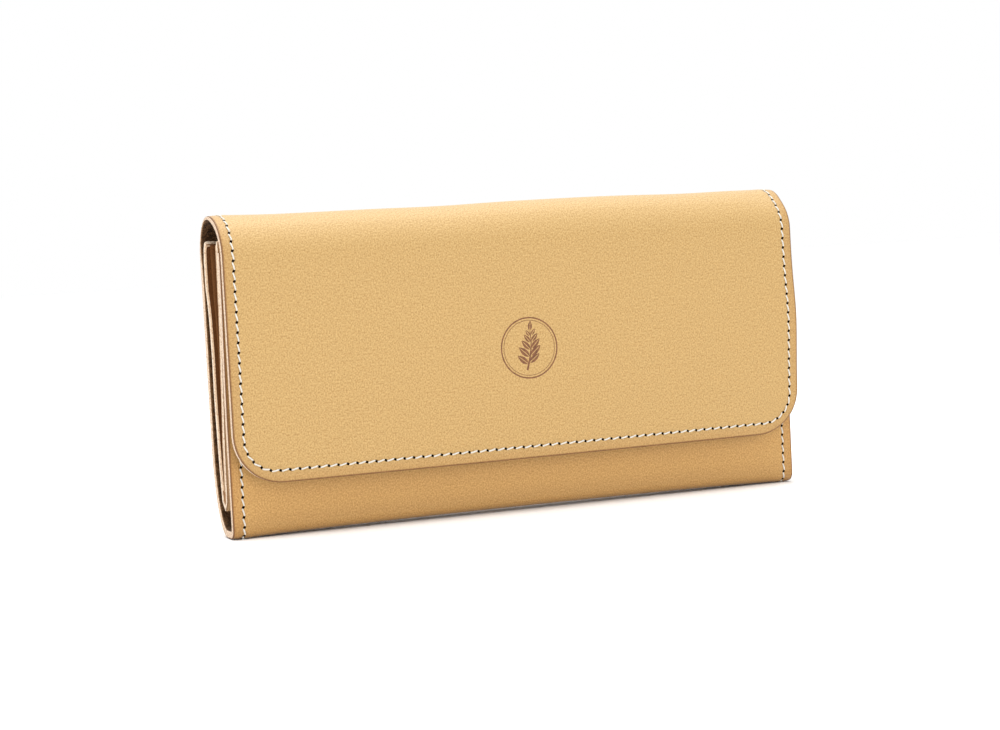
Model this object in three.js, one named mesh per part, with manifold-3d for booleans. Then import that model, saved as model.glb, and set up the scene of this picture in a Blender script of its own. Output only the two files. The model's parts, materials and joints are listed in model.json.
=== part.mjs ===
// Long leather wallet: an outer shell folded at the bottom and over the top into a flap,
// with a gusseted pouch, card slots, a zipped coin pocket and a press stud inside.
//
// Millimetres, +Z up, X along the wallet, the flap faces -Y. The wallet stands on its bottom
// fold, with the origin under its middle. Left is -X.

import * as THREE from 'three';
import { mergeVertices } from 'three/addons/utils/BufferGeometryUtils.js';
import Module from 'manifold-3d';

const wasm = await Module();
wasm.setup();

// ---------------------------------------------------------------- driving dimensions

const WIDTH = 190; // shell and flap, left to right
const HEIGHT = 96; // bottom fold to the top of the top fold
const DEPTH = 25; // back panel to flap, over the leather
const OUTER_LEATHER = 2.0;
const LINING = 0.4;
const WALL = 1.2; // pouch walls
const THIN_LEATHER = 0.6; // card slots and coin pocket
const GAP = 0.3; // between pieces that touch

const FLAP_EDGE_Z = 16; // lower edge of the closed flap
const FLAP_CORNER = 15.5; // radius of the flap's lower corners
const PANEL_TOP_Z = 85; // top edge of the front panel
const FRONT_BOTTOM_Z = 4; // where the front panel meets the bottom fold
const FRONT_FACE_Y = -7; // front panel's outer face, low down
const FRONT_BEND_Z = 31; // above this the front panel leans forward
const FRONT_TOP_Y = -8.4; // front panel's outer face at its top edge

const FOLD_HINGES = 4; // bends that share the flap's half turn
const FOLD_ARC_STEPS = 5; // straight facets in one fold segment

// The back panel rises from its foot, leans out to the bend and is upright above it.
const BACK_FOOT = { y: 9.2, z: 9.4 };
const BACK_BEND_Z = 40;
const BOTTOM_CORNER = { y: 4, width: 5.15, height: 9, steps: 6 }; // the bottom fold's back corner
const BOTTOM_FRONT_Y = -5.5;
const BOTTOM_LINING_FRONT_Y = -2.4;

// Each seam's thread lies in a groove, flush with the leather.
const THREAD_WIDTH = 0.6;
const THREAD_HEIGHT = 0.4;
const GROOVE_WIDTH = 1.2;
const GROOVE_DEPTH = 0.7;
const SEAM_INSET = 3; // from the side edges
const FLAP_SEAM_RISE = 3.7; // above the flap's lower edge
const FLAP_CORNER_STEPS = 8;

// Pouch: a rear wall fixed to the back panel and a front wall that moves with the front panel.
const POUCH_INSET = 1; // from the shell's side edges
const POUCH_BOTTOM_Z = 8;
const WALL_BOTTOM_Z = 12.9;
const WALL_TOP_Z = 89;
const REAR_WALL = { z: 16, y: 4.0, slope: 0.0559 }; // its front face
const REAR_WALL_BEND_Z = 78; // above this the rear wall follows the top fold
const REAR_WALL_TOP_Y = 6.5;
const FRONT_WALL = { z: 16, y: -0.3, slope: -0.05 }; // its rear face
const GUSSET_BOTTOM_Z = 14;
const FLANGE_WIDTH = 5; // sewn edges of the side gussets
const REAR_FLANGE = 1.5;
const FRONT_FLANGE = 0.9;
const GUSSET_LEAF = 0.8;
const GUSSET_DEPTH = 13; // how far the V folds inwards at the top
const GUSSET_TOP_Z = 88;
const GUSSET_START_Z = 40; // below this the V is closed
const CREASE_CLEARANCE = 2.2; // the crease is left open between the two leaves

const CARD_WIDTH = 88; // takes an 86 mm card
const CARD_MIDDLE = 0.6; // from the wallet's middle to each column
const CARD_TIERS = [
  { bottom: 28, top: 77 },
  { bottom: 18, top: 67 },
  { bottom: 18, top: 57 },
];

// Coin pocket, which stands between the two walls.
const COIN_HALF_WIDTH = 75;
const COIN_BOTTOM_Z = 26;
const COIN_TOP_Z = 78;
const COIN_REAR = { z: 18, y: 1.25, slope: 0.033 }; // rear face of its back
const COIN_FRONT = { z: 18, y: 0.05, slope: -0.0111 }; // front face of its front

const COIN_BINDING = 1; // height of the strip that closes its bottom

const ZIP_Z = 70;
const ZIP_Y = 0.7;
const ZIP_WINDOW = 3.4; // half height of the slot in the coin pocket's front
const ZIP_TAPE = 0.4;
const ZIP_TAPE_REACH = 5.6; // tape's outer edge from the zip's middle line
const TOOTH = { pitch: 2.4, length: 0.9, reach: 1.3, overlap: 0.5, rail: 0.45, thickness: 1.2 };
const ZIP_HALF_LENGTH = 71;
const ZIP_STOP = { width: 1.2, gap: 0.8 }; // at each end of the teeth
const SLIDER = { length: 7, height: 4.2, plate: 0.8, back: 0.45, lip: 0.4 };
const PULL = { length: 12, width: 4, thickness: 0.7, eye: 1.1 };

const SNAP_Z = 36;
const SNAP_BASE_RADIUS = 4.5;
const SNAP_POST_RADIUS = 1.7;
const SNAP_SHANK_RADIUS = 1.2;
const SNAP_FLANGE = 0.7; // thickness of the stud's base
const SNAP_CLEARANCE = 0.5; // between the stud's flanges and the leather
const SNAP_WASHER = 0.7;
const SNAP_RIM = 1.3; // width of the socket's ring
const SNAP_ROUND_STEPS = 20;

// ---------------------------------------------------------------- places worked out from them

const HALF = WIDTH / 2;
const BACK_Y = DEPTH / 2;
const FOLD_RADIUS = DEPTH / 2;
const FOLD_Z = HEIGHT - FOLD_RADIUS;
const LINING_START = OUTER_LEATHER + GAP;
const SHELL = LINING_START + LINING;
const SEGMENT = Math.PI / FOLD_HINGES;
const FOLD_SPLIT = 0.39 / FOLD_RADIUS; // angle between two neighbouring fold segments
const POUCH_SIDE = HALF - POUCH_INSET;
// Where a gusset's two hinge lines and its crease meet.
const GUSSET_APEX = { x: POUCH_SIDE - 0.4, y: 1.55, z: 16.8 };

const yOn = (face, z) => face.y + face.slope * (z - face.z);

// ---------------------------------------------------------------- shape helpers

// A closed outline of [y, z] points drawn out along X.
function prism(outline, xFrom, xTo) {
  const shape = new THREE.Shape(outline.map(([y, z]) => new THREE.Vector2(y, z)));
  const geometry = new THREE.ExtrudeGeometry(shape, { depth: xTo - xFrom, bevelEnabled: false });
  const toRow = new THREE.Matrix4().makeBasis(
    new THREE.Vector3(0, 1, 0),
    new THREE.Vector3(0, 0, 1),
    new THREE.Vector3(1, 0, 0),
  );
  return geometry.applyMatrix4(toRow).translate(xFrom, 0, 0);
}

// A shape in X and Z drawn out from yBack towards -Y.
function upright(shape, yBack, depth, curveSegments = 8) {
  const geometry = new THREE.ExtrudeGeometry(shape, { depth, bevelEnabled: false, curveSegments });
  const toRow = new THREE.Matrix4().makeBasis(
    new THREE.Vector3(1, 0, 0),
    new THREE.Vector3(0, 0, 1),
    new THREE.Vector3(0, -1, 0),
  );
  return geometry.applyMatrix4(toRow).translate(0, yBack, 0);
}

// The open path of [y, z] points moved sideways by a distance, to the left of its direction.
function offset(path, distance) {
  return path.map(([y, z], i) => {
    const [y0, z0] = path[Math.max(i - 1, 0)];
    const [y1, z1] = path[Math.min(i + 1, path.length - 1)];
    const before = new THREE.Vector2(y - y0, z - z0).normalize();
    const after = new THREE.Vector2(y1 - y, z1 - z).normalize();
    const along = before.add(after).normalize();
    const edge = i === 0 ? new THREE.Vector2(y1 - y, z1 - z) : new THREE.Vector2(y - y0, z - z0);
    const mitre = distance / along.dot(edge.normalize());
    return [y - along.y * mitre, z + along.x * mitre];
  });
}

// The outline of a sheet between two depths, where pathAt gives the open path at a depth.
const layer = (pathAt, near, far) => [...pathAt(near), ...pathAt(far).reverse()];

const offsetPath = (path) => (depth) => offset(path, depth);

// The same path, carried on straight past both ends.
function carriedOn([first, second, ...rest], distance = 0.5) {
  const path = [first, second, ...rest];
  const beyond = ([y0, z0], [y1, z1]) => {
    const step = distance / Math.hypot(y1 - y0, z1 - z0);
    return [y1 + (y1 - y0) * step, z1 + (z1 - z0) * step];
  };
  return [beyond(second, first), ...path, beyond(path.at(-2), path.at(-1))];
}

// Points on the top fold, by angle from the back panel over the top towards the flap.
function foldArc(from, to, depth, steps = FOLD_ARC_STEPS) {
  const radius = FOLD_RADIUS - depth;
  return Array.from({ length: steps + 1 }, (_, i) => {
    const angle = from + ((to - from) * i) / steps;
    return [radius * Math.cos(angle), FOLD_Z + radius * Math.sin(angle)];
  });
}

// A flat sheet between two heights on a sloping face; a positive offset lies in front of it.
function wallOutline(face, zFrom, zTo, near, far) {
  return [
    [yOn(face, zFrom) - near, zFrom],
    [yOn(face, zFrom) - far, zFrom],
    [yOn(face, zTo) - far, zTo],
    [yOn(face, zTo) - near, zTo],
  ];
}

function toSolid(geometry) {
  const plain = geometry.clone();
  plain.deleteAttribute('normal');
  plain.deleteAttribute('uv');
  const merged = mergeVertices(plain, 1e-4);
  return new wasm.Manifold(new wasm.Mesh({
    numProp: 3,
    vertProperties: new Float32Array(merged.attributes.position.array),
    triVerts: new Uint32Array(merged.index.array),
  }));
}

function toGeometry(solid) {
  const mesh = solid.getMesh();
  const geometry = new THREE.BufferGeometry();
  geometry.setAttribute('position', new THREE.BufferAttribute(mesh.vertProperties, 3));
  geometry.setIndex(new THREE.BufferAttribute(mesh.triVerts, 1));
  geometry.computeVertexNormals();
  return geometry;
}

const cut = (body, tool) => toGeometry(toSolid(body).subtract(toSolid(tool)));
const common = (a, b) => toGeometry(toSolid(a).intersect(toSolid(b)));

// A round body about an axis along Y, from a profile of [radius, y] points that runs to the front.
function turned(profile, z) {
  const points = profile.map(([radius, y]) => new THREE.Vector2(radius, y)).reverse();
  return new THREE.LatheGeometry(points, SNAP_ROUND_STEPS).translate(0, 0, z);
}

const rod = (radius, yFront, yBack, z) =>
  turned([[0, yBack], [radius, yBack], [radius, yFront], [0, yFront]], z);

// ---------------------------------------------------------------- seams

const seamXs = [['left', SEAM_INSET - HALF], ['right', HALF - SEAM_INSET]];

// A panel of outer leather over the wallet's width, with a groove for the thread at each side.
function sewnPanel(pathAt) {
  const panel = toSolid(prism(layer(pathAt, 0, OUTER_LEATHER), -HALF, HALF));
  const outline = layer((depth) => carriedOn(pathAt(depth)), -GROOVE_DEPTH, GROOVE_DEPTH);
  return toGeometry(seamXs.reduce((solid, [, x]) => {
    const groove = prism(outline, x - GROOVE_WIDTH / 2, x + GROOVE_WIDTH / 2);
    return solid.subtract(toSolid(groove));
  }, panel));
}

function addSideSeams(name, pathAt) {
  const outline = layer(pathAt, 0, THREAD_HEIGHT);
  seamXs.forEach(([side, x]) => {
    const strip = prism(outline, x - THREAD_WIDTH / 2, x + THREAD_WIDTH / 2);
    add(`${name}_${side}`, strip, thread());
  });
}

// ---------------------------------------------------------------- materials

const honey = 0xd9b27a;
const brown = 0x4a3020;

const leather = (color) => new THREE.MeshStandardMaterial({ color, roughness: 0.6, metalness: 0 });
const suede = (color) => new THREE.MeshStandardMaterial({ color, roughness: 0.95, metalness: 0 });
const thread = () => new THREE.MeshStandardMaterial({ color: 0xf0e6d2, roughness: 0.8, metalness: 0 });
const brass = () => new THREE.MeshStandardMaterial({ color: 0xb9975a, roughness: 0.35, metalness: 1 });

const group = new THREE.Group();

function add(name, geometry, material) {
  const mesh = new THREE.Mesh(geometry, material);
  mesh.name = name;
  group.add(mesh);
  return mesh;
}

// ---------------------------------------------------------------- outer shell

function addBack() {
  const straight = [[BACK_FOOT.y, BACK_FOOT.z], [BACK_Y, BACK_BEND_Z], [BACK_Y, FOLD_Z - 1]];
  const end = SEGMENT / 2 - FOLD_SPLIT / 2;
  const pathAt = (depth) => [...offset(straight, depth), ...foldArc(0, end, depth, 3)];
  add('back_panel', sewnPanel(pathAt), leather(honey));
  add('back_lining', prism(layer(pathAt, LINING_START, SHELL), -HALF, HALF), suede(brown));
  addSideSeams('back_thread', pathAt);
}

function addBottomFold() {
  const { y, width, height, steps } = BOTTOM_CORNER;
  const corner = Array.from({ length: steps + 1 }, (_, i) => {
    const angle = -Math.PI / 2 + (Math.PI / 2) * (i / steps);
    return [y + width * Math.cos(angle), height + height * Math.sin(angle)];
  });
  const panel = layer(offsetPath([[BOTTOM_FRONT_Y, 0], ...corner]), 0, OUTER_LEATHER);
  const lining = layer(offsetPath([[BOTTOM_LINING_FRONT_Y, 0], ...corner]), LINING_START, SHELL);
  add('bottom_fold', prism(panel, -HALF, HALF), leather(honey));
  add('bottom_fold_lining', prism(lining, -HALF, HALF), suede(brown));
}

function addTopFold() {
  for (let i = 1; i < FOLD_HINGES; i += 1) {
    const from = (i - 0.5) * SEGMENT + FOLD_SPLIT / 2;
    const to = (i + 0.5) * SEGMENT - FOLD_SPLIT / 2;
    const pathAt = (depth) => foldArc(from, to, depth);
    const lining = prism(layer(pathAt, LINING_START, SHELL), -HALF, HALF);
    add(`top_fold_${i}`, sewnPanel(pathAt), leather(honey));
    add(`top_fold_${i}_lining`, lining, suede(brown));
    addSideSeams(`top_fold_${i}_thread`, pathAt);
  }
}

// Outline of the flap seen from the front: square at the top, round at the lower corners.
function flapOutline(inset) {
  const half = HALF - inset;
  const bottom = FLAP_EDGE_Z + inset;
  const radius = FLAP_CORNER - inset;
  const shape = new THREE.Shape();
  shape.moveTo(half, HEIGHT);
  shape.lineTo(-half, HEIGHT);
  shape.lineTo(-half, bottom + radius);
  shape.absarc(-half + radius, bottom + radius, radius, Math.PI, Math.PI * 1.5);
  shape.lineTo(half - radius, bottom);
  shape.absarc(half - radius, bottom + radius, radius, Math.PI * 1.5, Math.PI * 2);
  return shape;
}

function addFlap() {
  const start = Math.PI - SEGMENT / 2 + FOLD_SPLIT / 2;
  const pathAt = (depth) => [...foldArc(start, Math.PI, depth, 3), [depth - BACK_Y, FLAP_EDGE_Z - 2]];
  const outline = (inset) => upright(flapOutline(inset), 0, DEPTH);
  const panel = common(prism(layer(pathAt, 0, OUTER_LEATHER), -HALF, HALF), outline(0));
  const groove = upright(flapSeam(GROOVE_WIDTH, GAP), GROOVE_DEPTH - BACK_Y, 2 * GROOVE_DEPTH);
  const strand = upright(flapSeam(THREAD_WIDTH, 0), THREAD_HEIGHT - BACK_Y, THREAD_HEIGHT);
  add('flap_panel', cut(panel, groove), leather(honey));
  const lining = common(prism(layer(pathAt, LINING_START, SHELL), -HALF, HALF), outline(0.5));
  const eyelet = rod(SNAP_BASE_RADIUS - SNAP_RIM, -BACK_Y, -BACK_Y + DEPTH / 2, SNAP_Z);
  add('flap_lining', cut(lining, eyelet), suede(brown));
  add('flap_thread', strand, thread());
}

// One seam down the left side, round both lower corners and up the right side.
function flapSeam(width, extra) {
  const x = HALF - SEAM_INSET;
  const low = FLAP_EDGE_Z + FLAP_SEAM_RISE;
  const radius = FLAP_CORNER - SEAM_INSET;
  const corner = (centre, from) => Array.from({ length: FLAP_CORNER_STEPS + 1 }, (_, i) => {
    const angle = from + (Math.PI / 2) * (i / FLAP_CORNER_STEPS);
    return [centre + radius * Math.cos(angle), low + radius + radius * Math.sin(angle)];
  });
  const path = [
    [-x, FOLD_Z + extra],
    ...corner(radius - x, Math.PI),
    ...corner(x - radius, Math.PI * 1.5),
    [x, FOLD_Z + extra],
  ];
  const outline = layer(offsetPath(path), -width / 2, width / 2);
  return new THREE.Shape(outline.map(([px, pz]) => new THREE.Vector2(px, pz)));
}

function addFront() {
  const path = [
    [FRONT_TOP_Y, PANEL_TOP_Z],
    [FRONT_FACE_Y, FRONT_BEND_Z],
    [FRONT_FACE_Y, FRONT_BOTTOM_Z],
  ];
  const liningPath = [path[0], path[1], [FRONT_FACE_Y, FRONT_BOTTOM_Z + 4]];
  const shankHole = rod(SNAP_SHANK_RADIUS + GAP, -BACK_Y, 0, SNAP_Z);
  const panel = sewnPanel(offsetPath(path));
  const lining = prism(layer(offsetPath(liningPath), LINING_START, SHELL), -HALF, HALF);
  add('front_panel', cut(panel, shankHole), leather(honey));
  add('front_lining', cut(lining, shankHole), suede(brown));
  addSideSeams('front_thread', offsetPath(path));
}

// ---------------------------------------------------------------- pouch

function addPouch() {
  const rearFace = [
    [yOn(REAR_WALL, WALL_BOTTOM_Z), WALL_BOTTOM_Z],
    [yOn(REAR_WALL, REAR_WALL_BEND_Z), REAR_WALL_BEND_Z],
    [REAR_WALL_TOP_Y, WALL_TOP_Z],
  ];
  const rear = layer(offsetPath(rearFace), -WALL, 0);
  const front = wallOutline(FRONT_WALL, WALL_BOTTOM_Z, WALL_TOP_Z, 0, WALL);
  add('pouch_rear_wall', prism(rear, -POUCH_SIDE, POUCH_SIDE), leather(honey));
  add('pouch_front_wall', prism(front, -POUCH_SIDE, POUCH_SIDE), leather(honey));
  const middle = (yOn(REAR_WALL, WALL_BOTTOM_Z) + yOn(FRONT_WALL, WALL_BOTTOM_Z)) / 2;
  const reach = yOn(REAR_WALL, WALL_BOTTOM_Z) + WALL - middle;
  const top = WALL_BOTTOM_Z - 3 * GAP;
  const channel = Array.from({ length: 9 }, (_, i) => {
    const angle = Math.PI + (Math.PI * i) / 8;
    return [middle + reach * Math.cos(angle), top + (top - POUCH_BOTTOM_Z) * Math.sin(angle)];
  });
  const bottom = prism(layer(offsetPath(channel), 0, WALL), -POUCH_SIDE, POUCH_SIDE);
  add('pouch_bottom', bottom, leather(honey));
}

// A gusset is one V of leather on each side. Its two sewn edges stay on the walls, and its two
// leaves turn about them as the pouch opens.
function addGussets() {
  const sewnTop = REAR_WALL_BEND_Z - 1;
  const rear = wallOutline(REAR_WALL, GUSSET_BOTTOM_Z, sewnTop, GAP, GAP + REAR_FLANGE);
  const front = wallOutline(FRONT_WALL, GUSSET_BOTTOM_Z, GUSSET_TOP_Z, -GAP - FRONT_FLANGE, -GAP);
  [['left', -1], ['right', 1]].forEach(([name, sign]) => {
    const xs = [sign * POUCH_SIDE, sign * (POUCH_SIDE - FLANGE_WIDTH)].sort((a, b) => a - b);
    add(`gusset_rear_edge_${name}`, prism(rear, ...xs), leather(honey));
    add(`gusset_front_edge_${name}`, prism(front, ...xs), leather(honey));
    add(`gusset_rear_leaf_${name}`, gussetLeaf(sign, REAR_WALL.slope), leather(0x7a4a24));
    add(`gusset_front_leaf_${name}`, gussetLeaf(sign, FRONT_WALL.slope), leather(0x7a4a24));
  });
}

// The four-cornered plate between a hinge line that leans by `slope` and the crease of the V.
function gussetLeaf(sign, slope) {
  const apex = new THREE.Vector3(sign * GUSSET_APEX.x, GUSSET_APEX.y, GUSSET_APEX.z);
  const rise = GUSSET_TOP_Z - GUSSET_APEX.z;
  const edge = new THREE.Vector3(0, slope * rise, rise);
  const leafAngle = Math.atan(GUSSET_DEPTH / rise);
  const lean = Math.atan(Math.abs(slope));
  const inward = rise * Math.tan(Math.acos(Math.cos(leafAngle) / Math.cos(lean)));
  const crease = new THREE.Vector3(-sign * inward, 0, rise);
  const normal = new THREE.Vector3().crossVectors(edge, crease).normalize();
  const shy = new THREE.Vector3().subVectors(edge, crease).normalize();
  const start = (GUSSET_START_Z - GUSSET_APEX.z) / rise;
  const near = (share) => apex.clone().addScaledVector(edge, share);
  const onCrease = (share) => apex.clone().addScaledVector(crease, share);
  const far = (share) => onCrease(share).addScaledVector(shy, CREASE_CLEARANCE);
  const corners = [near(start), near(1), far(1), far(start)];
  return plate(corners, normal, GUSSET_LEAF);
}

// A flat plate with the given corners on its middle plane.
function plate(corners, normal, thickness) {
  const lift = (point, amount) => point.clone().addScaledVector(normal, amount);
  const points = [
    ...corners.map((point) => lift(point, -thickness / 2)),
    ...corners.map((point) => lift(point, thickness / 2)),
  ];
  const sides = corners.flatMap((_, i) => {
    const next = (i + 1) % corners.length;
    return [i, next, next + 4, i, next + 4, i + 4];
  });
  const faces = [0, 2, 1, 0, 3, 2, 4, 5, 6, 4, 6, 7, ...sides];
  const turn = new THREE.Vector3().crossVectors(
    new THREE.Vector3().subVectors(corners[1], corners[0]),
    new THREE.Vector3().subVectors(corners[2], corners[0]),
  );
  const geometry = new THREE.BufferGeometry().setFromPoints(points);
  geometry.setIndex(turn.dot(normal) > 0 ? faces : faces.reverse());
  geometry.computeVertexNormals();
  return geometry;
}

// Card slots overlap like shingles, in two columns on the pouch's rear wall.
function addCardSlots() {
  const step = THIN_LEATHER + GAP;
  CARD_TIERS.forEach(({ bottom, top }, tier) => {
    const near = GAP + tier * step;
    const outline = wallOutline(REAR_WALL, bottom, top, near, near + THIN_LEATHER);
    const far = CARD_MIDDLE + CARD_WIDTH;
    add(`card_slot_${tier + 1}_left`, prism(outline, -far, -CARD_MIDDLE), leather(honey));
    add(`card_slot_${tier + 1}_right`, prism(outline, CARD_MIDDLE, far), leather(honey));
  });
}

// ---------------------------------------------------------------- coin pocket and zip

function addCoinPocket() {
  const x = COIN_HALF_WIDTH;
  const back = wallOutline(COIN_REAR, COIN_BOTTOM_Z, COIN_TOP_Z, 0, THIN_LEATHER);
  const lower = wallOutline(COIN_FRONT, COIN_BOTTOM_Z, ZIP_Z - ZIP_WINDOW, -THIN_LEATHER, 0);
  const upper = wallOutline(COIN_FRONT, ZIP_Z + ZIP_WINDOW, COIN_TOP_Z, -THIN_LEATHER, 0);
  add('coin_pocket_back', prism(back, -x, x), leather(honey));
  add('coin_pocket_front', prism(lower, -x, x), leather(honey));
  add('coin_pocket_top_band', prism(upper, -x, x), leather(honey));
  const binding = [
    [yOn(COIN_REAR, COIN_BOTTOM_Z), COIN_BOTTOM_Z - GAP],
    [yOn(COIN_FRONT, COIN_BOTTOM_Z), COIN_BOTTOM_Z - GAP],
    [yOn(COIN_FRONT, COIN_BOTTOM_Z), COIN_BOTTOM_Z - GAP - COIN_BINDING],
    [yOn(COIN_REAR, COIN_BOTTOM_Z), COIN_BOTTOM_Z - GAP - COIN_BINDING],
  ];
  add('coin_pocket_binding', prism(binding, -x, x), leather(honey));
}

function addZip() {
  const cloth = () => new THREE.MeshStandardMaterial({ color: 0x3a2a1e, roughness: 0.9, metalness: 0 });
  const tapeFrom = TOOTH.reach + GAP;
  const tapeLength = 2 * (ZIP_HALF_LENGTH + ZIP_STOP.width + 2 * ZIP_STOP.gap);
  const tape = (sign) => {
    const zs = [ZIP_Z + sign * tapeFrom, ZIP_Z + sign * ZIP_TAPE_REACH].sort((a, b) => a - b);
    const box = new THREE.BoxGeometry(tapeLength, ZIP_TAPE, zs[1] - zs[0]);
    return box.translate(0, ZIP_Y, (zs[0] + zs[1]) / 2);
  };
  add('zip_tape_lower', tape(-1), cloth());
  add('zip_tape_upper', tape(1), cloth());
  add('zip_teeth_lower', teeth(-1), brass());
  add('zip_teeth_upper', teeth(1), brass());
  [['left', -1], ['right', 1]].forEach(([name, sign]) => {
    const stop = new THREE.BoxGeometry(ZIP_STOP.width, TOOTH.thickness, 2 * TOOTH.reach);
    const x = sign * (ZIP_HALF_LENGTH + ZIP_STOP.gap + ZIP_STOP.width / 2);
    add(`zip_stop_${name}`, stop.translate(x, ZIP_Y, ZIP_Z), brass());
  });
}

// One row of teeth on its rail; the two rows mesh, half a pitch apart.
function teeth(sign) {
  const count = Math.floor((2 * ZIP_HALF_LENGTH) / TOOTH.pitch);
  const start = -ZIP_HALF_LENGTH + TOOTH.pitch * (sign < 0 ? 0.2 : 0.7) - TOOTH.length / 2;
  const outer = ZIP_Z + sign * TOOTH.reach;
  const root = outer - sign * TOOTH.rail;
  const tip = ZIP_Z - sign * TOOTH.overlap;
  const comb = Array.from({ length: count }, (_, i) => {
    const from = start + i * TOOTH.pitch;
    const to = from + TOOTH.length;
    return [[from, root], [from, tip], [to, tip], [to, root]];
  }).flat();
  const ends = [[ZIP_HALF_LENGTH, root], [ZIP_HALF_LENGTH, outer], [-ZIP_HALF_LENGTH, outer]];
  const outline = [...comb, ...ends, [-ZIP_HALF_LENGTH, root]];
  const shape = new THREE.Shape(outline.map(([x, z]) => new THREE.Vector2(x, z)));
  return upright(shape, ZIP_Y + TOOTH.thickness / 2, TOOTH.thickness);
}

// The slider's two plates run along the teeth with lips over the rails, open to both tapes. The
// post between them is left out, because these teeth can't part to let it by.
function addSlider() {
  const x = ZIP_HALF_LENGTH - SLIDER.length / 2 - 0.6;
  const clear = TOOTH.thickness / 2 + GAP;
  const slit = ZIP_TAPE / 2 + GAP;
  const half = SLIDER.height / 2;
  const lip = half - SLIDER.lip;
  const halfOf = (sign, plateThickness) => {
    const face = ZIP_Y + sign * (clear + plateThickness);
    const inner = ZIP_Y + sign * clear;
    const edge = ZIP_Y + sign * slit;
    const outline = [
      [face, ZIP_Z - half],
      [face, ZIP_Z + half],
      [edge, ZIP_Z + half],
      [edge, ZIP_Z + lip],
      [inner, ZIP_Z + lip],
      [inner, ZIP_Z - lip],
      [edge, ZIP_Z - lip],
      [edge, ZIP_Z - half],
    ];
    return prism(outline, x - SLIDER.length / 2, x + SLIDER.length / 2);
  };
  add('zip_slider', halfOf(-1, SLIDER.plate), brass());
  add('zip_slider_back', halfOf(1, SLIDER.back), brass());
  addPull(x, ZIP_Y - clear - SLIDER.plate);
}

// The pull hangs from the slider in front of the coin pocket.
function addPull(x, sliderFace) {
  const shape = new THREE.Shape();
  const half = PULL.width / 2;
  shape.moveTo(x - half, ZIP_Z + 1);
  shape.lineTo(x - half, ZIP_Z - PULL.length + half);
  shape.absarc(x, ZIP_Z - PULL.length + half, half, Math.PI, Math.PI * 2);
  shape.lineTo(x + half, ZIP_Z + 1);
  const eye = new THREE.Path();
  eye.absarc(x, ZIP_Z - PULL.length + half, PULL.eye, 0, Math.PI * 2, true);
  shape.holes.push(eye);
  add('zip_pull', upright(shape, sliderFace - GAP, PULL.thickness, 6), brass());
}

// ---------------------------------------------------------------- press stud

function addSnap() {
  const lean = (FRONT_TOP_Y - FRONT_FACE_Y) / (PANEL_TOP_Z - FRONT_BEND_Z);
  const face = FRONT_FACE_Y + lean * (SNAP_Z - FRONT_BEND_Z);
  const base = face - SNAP_CLEARANCE;
  const liningFace = -BACK_Y + SHELL;
  const inside = face + SHELL + SNAP_CLEARANCE;
  const flangeRadius = SNAP_BASE_RADIUS - SNAP_CLEARANCE;
  const tip = liningFace + GAP;
  add('snap_stud', turned([
    [0, inside],
    [SNAP_SHANK_RADIUS, inside],
    [SNAP_SHANK_RADIUS, base],
    [SNAP_BASE_RADIUS, base],
    [flangeRadius, base - SNAP_FLANGE],
    [SNAP_POST_RADIUS - GAP, base - SNAP_FLANGE],
    [SNAP_POST_RADIUS, tip + 0.6],
    [SNAP_POST_RADIUS - GAP, tip],
    [0, tip],
  ], SNAP_Z), brass());
  const ring = (inner, outer, yFront, yBack) =>
    turned([[inner, yBack], [outer, yBack], [outer, yFront], [inner, yFront], [inner, yBack]], SNAP_Z);
  const washerFront = inside - 0.2;
  const washer = ring(SNAP_SHANK_RADIUS + GAP, flangeRadius, washerFront, washerFront + SNAP_WASHER);
  const socket = ring(SNAP_POST_RADIUS + SNAP_WASHER, SNAP_BASE_RADIUS, tip, tip + 0.9);
  add('snap_stud_washer', washer, brass());
  add('snap_socket', socket, brass());
  const rivetRadius = SNAP_BASE_RADIUS - SNAP_RIM - GAP;
  add('snap_rivet', rod(rivetRadius, liningFace - LINING, liningFace - 0.1, SNAP_Z), brass());
}

// ---------------------------------------------------------------- assembly

addBack();
addBottomFold();
addTopFold();
addFlap();
addFront();
addPouch();
addGussets();
addCardSlots();
addCoinPocket();
addZip();
addSlider();
addSnap();

export default group;
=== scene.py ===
"""Long leather wallet with a flap: the looks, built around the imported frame.

Lengths in this script are millimetres in the frame's axes, and meshes are scaled to metres as they
are made. The outer leather is one strip that runs from the front panel's top edge down and under
the bottom, up the back and over the top to the flap's lower edge. A place on it is (u, v, depth):
u along X, v along the strip from the front panel's top edge, and depth inwards from the grain side.
"""

import functools
import json
import math
import random

import bmesh
import bpy
import numpy as np
from mathutils import Matrix, Vector


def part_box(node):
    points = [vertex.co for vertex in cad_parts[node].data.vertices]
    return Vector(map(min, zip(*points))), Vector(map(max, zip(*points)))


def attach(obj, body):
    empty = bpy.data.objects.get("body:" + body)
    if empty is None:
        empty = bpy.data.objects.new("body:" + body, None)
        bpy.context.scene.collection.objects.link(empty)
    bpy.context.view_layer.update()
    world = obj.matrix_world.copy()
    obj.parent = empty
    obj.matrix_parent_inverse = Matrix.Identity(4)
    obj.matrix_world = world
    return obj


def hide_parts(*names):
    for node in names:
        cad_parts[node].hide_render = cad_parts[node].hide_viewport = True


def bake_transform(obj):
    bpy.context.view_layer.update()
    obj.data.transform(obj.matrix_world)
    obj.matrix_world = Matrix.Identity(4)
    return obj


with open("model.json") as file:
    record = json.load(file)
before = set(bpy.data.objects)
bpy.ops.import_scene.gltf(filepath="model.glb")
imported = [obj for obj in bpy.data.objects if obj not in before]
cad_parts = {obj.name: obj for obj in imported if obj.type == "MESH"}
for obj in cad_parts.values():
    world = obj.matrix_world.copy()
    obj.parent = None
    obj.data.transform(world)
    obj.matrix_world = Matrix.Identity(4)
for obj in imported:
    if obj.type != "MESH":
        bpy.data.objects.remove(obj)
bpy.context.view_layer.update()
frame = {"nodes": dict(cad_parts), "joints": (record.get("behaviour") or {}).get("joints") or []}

MM = 0.001
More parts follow.
